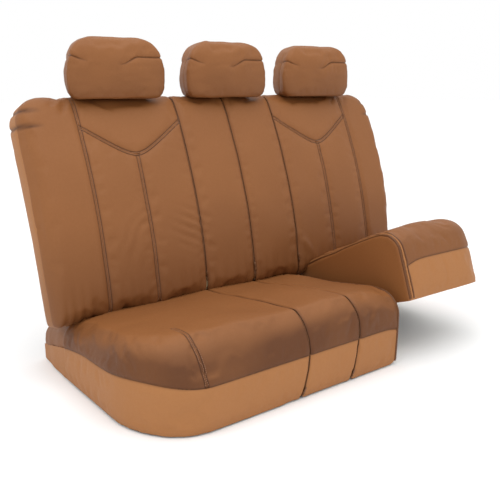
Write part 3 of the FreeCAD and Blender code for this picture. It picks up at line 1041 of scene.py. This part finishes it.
chains = joined([zip_chain(tree_60, leant(foot)) for foot in (-ZIP, 0)], "zip")
kept(thing("seat_60_zip_chains", chains, ZIPPER), "seat_60", ZIPPER, "seat_60_zips")
for foot, name in ((-ZIP, "left"), (0, "right")):
    node = f"seat_60_{name}_slider"
    lowest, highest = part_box(node)
    heights = np.linspace(highest[2], lowest[2], 5)
    slider_on(node, tree_60, [(foot + float(zip_lean(FRONT, z)), FRONT, z) for z in heights], 0.0028)

form_40 = seat_form(SPLIT_40, RIGHT, 1)
core("seat_40_foam", form_40, "seat_40", lambda points: swung(clear_of_pan(points)))
WALL_40 = SPLIT_40 + 0.006
cushion_panels(form_40, [], [], WALL_40, 1, RIGHT)
seat_40_faces = {
    "seat_40_side_wall": strip(0, WALL_40),
    "seat_40_top": both(strip(WALL_40, 1), above),
    "seat_40_skirt": both(strip(WALL_40, 1), above, False),
}
for node, mesh in zip(seat_40_faces, parted(form_40, seat_40_faces.values(), 0.004)):
    moved(mesh, swung(places(mesh)))
    dressed(node, mesh, TAN if "skirt" in node else BROWN, "seat_40")


# Piping: a cord wrapped in a strip of leatherette, sewn round the edge of each facing end.
def edge_run(mesh, x):
    """Points round a cushion's edge at x, from the rear of the top to the hem in front."""
    tree = skin_tree(mesh)
    guesses = over_roll(x, REAR - 0.016, HEM + 0.006)
    return [tree.find_nearest(Vector(guess))[0] for guess in guesses]


def piped(name, path, radius, material, body, *nodes, shape=None):
    cord = bpy.data.curves.new(name, "CURVE")
    cord.dimensions = "3D"
    cord.bevel_depth = radius
    cord.bevel_resolution = 4
    cord.use_fill_caps = True
    spline = cord.splines.new("NURBS")
    spline.points.add(len(path) - 1)
    for dot, place in zip(spline.points, path):
        dot.co = (*place, 1)
    spline.use_endpoint_u = True
    spline.order_u = 4
    mesh = baked(thing(name, cord))
    if shape:
        moved(mesh, shape(places(mesh)))
    mesh.shade_smooth()
    return kept(thing(name, mesh, material), body, material, *nodes)


edge = edge_run(form_60, SPLIT_60 - 0.004)
piped("seat_60_edge_piping", edge, 0.0036, BINDING, "seat_60", "seat_60_piping")
edge = edge_run(form_40, SPLIT_40 + 0.004)
piped("seat_40_edge_piping", edge, 0.0036, BINDING, "seat_40", "seat_40_piping", shape=swung)
piped("seat_40_light_piping", edge_run(form_40, SPLIT_40 + 0.012), 0.0030, TAN, "seat_40", shape=swung)
piped("seat_40_outer_piping", edge_run(form_40, SPLIT_40 + 0.019), 0.0026, BINDING, "seat_40", shape=swung)


# Skirt tails: the rear ends of the side skirts, plain flaps of leatherette tied back to the bench.
TAIL_START = REAR - 0.030
TAIL_END = 0.238
TAIL_LONG = 0.206
for side, x in (("left", LEFT), ("right", RIGHT)):
    sign = -1 if side == "left" else 1
    flap = bmesh.new()
    corners = [(x, TAIL_START, HEM), (x, TAIL_END, HEM), (x, TAIL_END, 0.048), (x, TAIL_START, 0.100)]
    flap.faces.new([flap.verts.new(corner) for corner in corners])
    bmesh.ops.subdivide_edges(flap, edges=flap.edges[:], cuts=20, use_grid_fill=True)
    for vert in flap.verts:
        back = (vert.co.y - TAIL_START) / TAIL_LONG
        wave = 0.0012 * math.sin(vert.co.y * 75) * back
        vert.co.x -= sign * (0.0040 * (1 - back) + 0.014 * back ** 2 + wave)
    bmesh.ops.recalc_face_normals(flap, faces=flap.faces)
    if (flap.faces[:][0].normal.x > 0) != (sign > 0):
        bmesh.ops.reverse_faces(flap, faces=flap.faces)
    mesh = as_mesh(flap, "flap")
    mesh.shade_smooth()
    piece = kept(thing(f"skirt_tail_{side}", thickened(mesh, TAN)), "bench", TAN, "skirt_tails")


# Rear wraps: the top cover's rear ends, drawn round the bench below the gussets, above the skirt tails.
for side, x in (("left", LEFT), ("right", RIGHT)):
    sign = -1 if side == "left" else 1
    x -= sign * 0.004
    corners = [(x, TAIL_START, 0.094), (x, TAIL_START, 0.168), (x, TAIL_END, 0.112), (x, TAIL_END, 0.044)]
    block = slab(corners, (-sign, 0, 0), 0.10)

    def outside(edge):
        return all(abs(vert.co.x - x) < 1e-4 for vert in edge.verts)

    rounded(block, lambda edge: outside(edge) and all(vert.co.z > 0.11 for vert in edge.verts), 0.045, 8)
    rounded(block, lambda edge: outside(edge) and all(vert.co.y > TAIL_END - 0.001 for vert in edge.verts),
            0.030, 6)
    mesh = evened(block, 0.006)
    relaxed(mesh, 4)
    found = places(mesh)
    sag = 0.010 * share((found[:, 1] - REAR) / 0.18) ** 2
    found = found + normals(mesh) * 0.0025 * ripples(found, 26.0, 4.0)[:, None]
    moved(mesh, found - np.outer(sag, (sign, 0, 0)))
    # Painted shade: the whole wrap is coloured evenly deeper.
    stored(mesh, "painted_shade", 0.35 * np.ones(len(found)))
    mesh.shade_smooth()
    wrap = kept(thing(f"rear_wrap_{side}", mesh, BROWN), "bench", BROWN)


# Headrests: a shaped foam block on two steel posts, in a front cover and a hood that meet in a seam
# running in from each side and fading out across the front.
HEAD_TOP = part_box("headrest_centre_hood_cover")[1][2] - 0.005
HEAD_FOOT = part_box("headrest_centre_front_cover")[0][2]
HEAD_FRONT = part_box("headrest_centre_front_cover")[0][1]
HEAD_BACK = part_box("headrest_centre_hood_cover")[1][1]
HEAD_HALF = 0.151
HEAD_TALL = HEAD_TOP - HEAD_FOOT


def head_seam(points):
    """Height above the seam between front cover and hood; the hood also takes the rear."""
    x, y, z = points.T
    climb = share(x / 0.058)
    line = 0.853 + 0.021 * climb ** 2 * (3 - 2 * climb) + 0.024 * share((-x - 0.06) / 0.084) ** 1.5
    return np.where(z > line, z - line, np.maximum(z - line, y - 0.190))


def seam_fade(points):
    """How strongly the seam shows: full at the sides, nothing across the front, faint behind."""
    x, y = points[:, 0], points[:, 1]
    shown = share((x + 0.015) / 0.05) + share((-x - 0.095) / 0.03)
    return np.where(y < 0.18, shown, 0.35)


def head_form():
    """The plain block of one headrest, fullest low down and narrower behind."""
    half = HEAD_HALF
    low, high = HEAD_FOOT + 0.035, HEAD_TOP - 0.060
    foot = (half - 0.026, HEAD_FOOT - 0.005)
    right = [foot] + smooth_arc(foot, (half, low), half - 0.026, low, 5)
    right += [(half + 0.001, HEAD_FOOT + 0.060), (half - 0.002, HEAD_FOOT + 0.085)]
    right += smooth_arc((half - 0.010, high), (half - 0.078, HEAD_TOP), half - 0.078, high, 9)
    outline = [(x, 0, z) for x, z in right] + [(-x, 0, z) for x, z in reversed(right)]
    made = slab(outline, (0, 1, 0), HEAD_BACK - HEAD_FRONT)
    bmesh.ops.translate(made, vec=(0, HEAD_FRONT, 0), verts=made.verts)
    rounded(made, lambda edge: all(vert.co.y < HEAD_FRONT + 0.001 for vert in edge.verts), 0.036, 8)
    rounded(made, lambda edge: all(vert.co.y > HEAD_BACK - 0.001 for vert in edge.verts), 0.062, 9)
    mesh = evened(made, 0.0055)
    relaxed(mesh, 14)
    points = places(mesh)
    x, y, z = points.T
    rise = (z - HEAD_FOOT) / HEAD_TALL
    x *= 1 - 0.19 * share((y - HEAD_FRONT - 0.012) / 0.10) ** 1.2
    lean_back = 0.060 * share(rise - 0.45) ** 2 + 0.010 * (1 - rise)
    y += share(1 - (y - HEAD_FRONT) / 0.10) * lean_back
    y += 0.016 * (x / half) ** 2 * share(1 - (y - HEAD_FRONT) / 0.06)
    moved(mesh, np.column_stack((x, y, z)))
    return mesh


head = head_form()
held = share(1.3 - np.abs(head_seam(places(head))) / 0.009) * seam_fade(places(head))
held = np.maximum(held, places(head)[:, 2] < HEAD_FOOT + 0.004)
head = pillowed(head, held, 2.0, 0.0030)
for name, body in (("left", "headrest_left"), ("centre", "headrest_centre"), ("right", "headrest_right")):
    lowest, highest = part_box(body + "_front_cover")
    middle = (lowest[0] + highest[0]) / 2

    def shift(points):
        return points + (middle + 0.004, 0, 0)

    mesh = head.copy()
    core(body + "_foam", mesh, body, shift)
    made = as_bmesh(mesh)
    cut_along(made, head_seam, (-0.004, -0.0015, 0, 0.0015, 0.004), 0.010)
    made.to_mesh(mesh)
    made.free()
    found = places(mesh)
    near = np.abs(head_seam(found))
    fade = seam_fade(found)
    offset = middle * 20
    wrinkle = 0.0022 * ripples(found, 18.0, offset)
    wrinkle += 0.0012 * ripples(found * (0.6, 1, 2.0), 34.0, offset + 4)
    dip = 0.0030 * crease(near, 0.0026) * fade - 0.0014 * crease(near - 0.012, 0.008) * fade
    rise = (found[:, 2] - HEAD_FOOT) / HEAD_TALL
    # Painted shade deepening towards the foot of each headrest, with soft random patches, and painted
    # shadow along the seam.
    stored(mesh, "painted_shade", 0.35 * share(1 - rise / 0.75) + 0.1 * ripples(found, 14.0, offset))
    sewn(mesh, [], [], dip - wrinkle, 0.7 * crease(near, 0.0016) * fade)
    halves = (lambda points: head_seam(points) < 0, lambda points: head_seam(points) > 0)
    for part, panel in zip(("front_cover", "hood_cover"), parted(mesh, halves, 0)):
        moved(panel, shift(places(panel)))
        dressed(f"{body}_{part}", panel, BROWN, body)


# Bench form: bent and welded steel, powder coated, with a bright hinge tube and headrest posts, plastic
# post guides and black elastic straps. These are the plain CAD pieces with their finishes.
powder = Finish("powder_coat", Coat_Weight=0.15)
speck = powder.noise(420.0, 2.0)
powder.grained(speck, shade(44, 44, 47), shade(30, 30, 33), 0.0004, 0.35)
powder.give("Roughness", 0.36 + speck * 0.16)
steel = Finish("hinge_steel", Metallic=1.0)
scratch = steel.noise(140.0, 5.0)
steel.grained(scratch, shade(188, 188, 190), shade(150, 150, 153), 0.0002, 0.3)
steel.give("Roughness", 0.24 + scratch * 0.2)
chrome = Finish("post_chrome", Metallic=1.0, Specular_IOR_Level=0.6)
haze = chrome.noise(60.0)
chrome.grained(haze, shade(226, 226, 230), shade(206, 206, 210))
chrome.give("Roughness", 0.06 + haze * 0.1)
moulded = Finish("guide_plastic", Specular_IOR_Level=0.4)
spark = moulded.cells(900.0)
moulded.grained(spark, shade(30, 30, 32), shade(44, 44, 46), 0.0003, 0.5)
moulded.give("Roughness", 0.5 + spark * 0.2)
webbing = Finish("elastic_webbing", Roughness=0.85, Sheen_Weight=0.3)
webbing.grained(webbing.ribs(160.0, "X"), shade(24, 24, 26), shade(48, 48, 50), 0.0006, 0.6)
wood = Finish("back_board", Roughness=0.7)
wood.grained(wood.noise(90.0, 6.0), shade(96, 74, 52), shade(70, 52, 36), 0.0005, 0.4)
finishes = {
    powder: ("floor_plate", "right_foot", "rear_beam", "bench_brackets", "seat_60_pan", "seat_40_pan",
             "seat_60_hinge_arms", "seat_40_hinge_arms"),
    steel: ("hinge_tube",),
    chrome: ("headrest_left_posts", "headrest_centre_posts", "headrest_right_posts"),
    moulded: ("post_guides",),
    webbing: ("seat_60_straps", "seat_40_straps"),
    wood: ("back_board",),
}
for finish, nodes in finishes.items():
    for node in nodes:
        for patch in frame["nodes"][node].material_slots:
            patch.material = finish.material


# Floor, light and camera: a plain pale floor under a soft studio sky, with one large soft box above.
floor = bmesh.new()
bmesh.ops.create_grid(floor, x_segments=1, y_segments=1, size=30)
ground = Finish("pale_floor", Roughness=0.9)
ground.give("Base Color", (0.95, 0.95, 0.95, 1))
thing("floor", as_mesh(floor, "floor"), ground.material)

world = bpy.data.worlds.new("studio")
bpy.context.scene.world = world
world.use_nodes = True
sky = world.node_tree
height = sky.nodes.new("ShaderNodeSeparateXYZ")
sky.links.new(sky.nodes.new("ShaderNodeTexCoord").outputs["Generated"], height.inputs[0])
climb = sky.nodes.new("ShaderNodeMapRange")
sky.links.new(height.outputs["Z"], climb.inputs["Value"])
climb.inputs["From Min"].default_value = 0.25
climb.inputs["To Min"].default_value = 1.0
climb.inputs["To Max"].default_value = 1.35
sky.links.new(climb.outputs["Result"], sky.nodes["Background"].inputs["Strength"])
sky.nodes["Background"].inputs["Color"].default_value = (1, 1, 1, 1)
bpy.context.scene.view_settings.view_transform = "Standard"
lamp = bpy.data.lights.new("top", "AREA")
lamp.energy = 22
lamp.size = 2.2
soft_box = thing("top", lamp)
soft_box.location = (-0.6, -0.9, 2.6)
soft_box.rotation_euler = (math.radians(-8), 0, 0)

camera = bpy.data.cameras.new("camera")
camera.lens = 47.83
camera.sensor_width = 36
viewer = thing("camera", camera)
viewer.location = (-1.2543, -1.6134, 0.7960)
viewer.rotation_euler = (math.radians(90 - 13.92), 0, math.radians(-37.3))
bpy.context.scene.camera = viewer
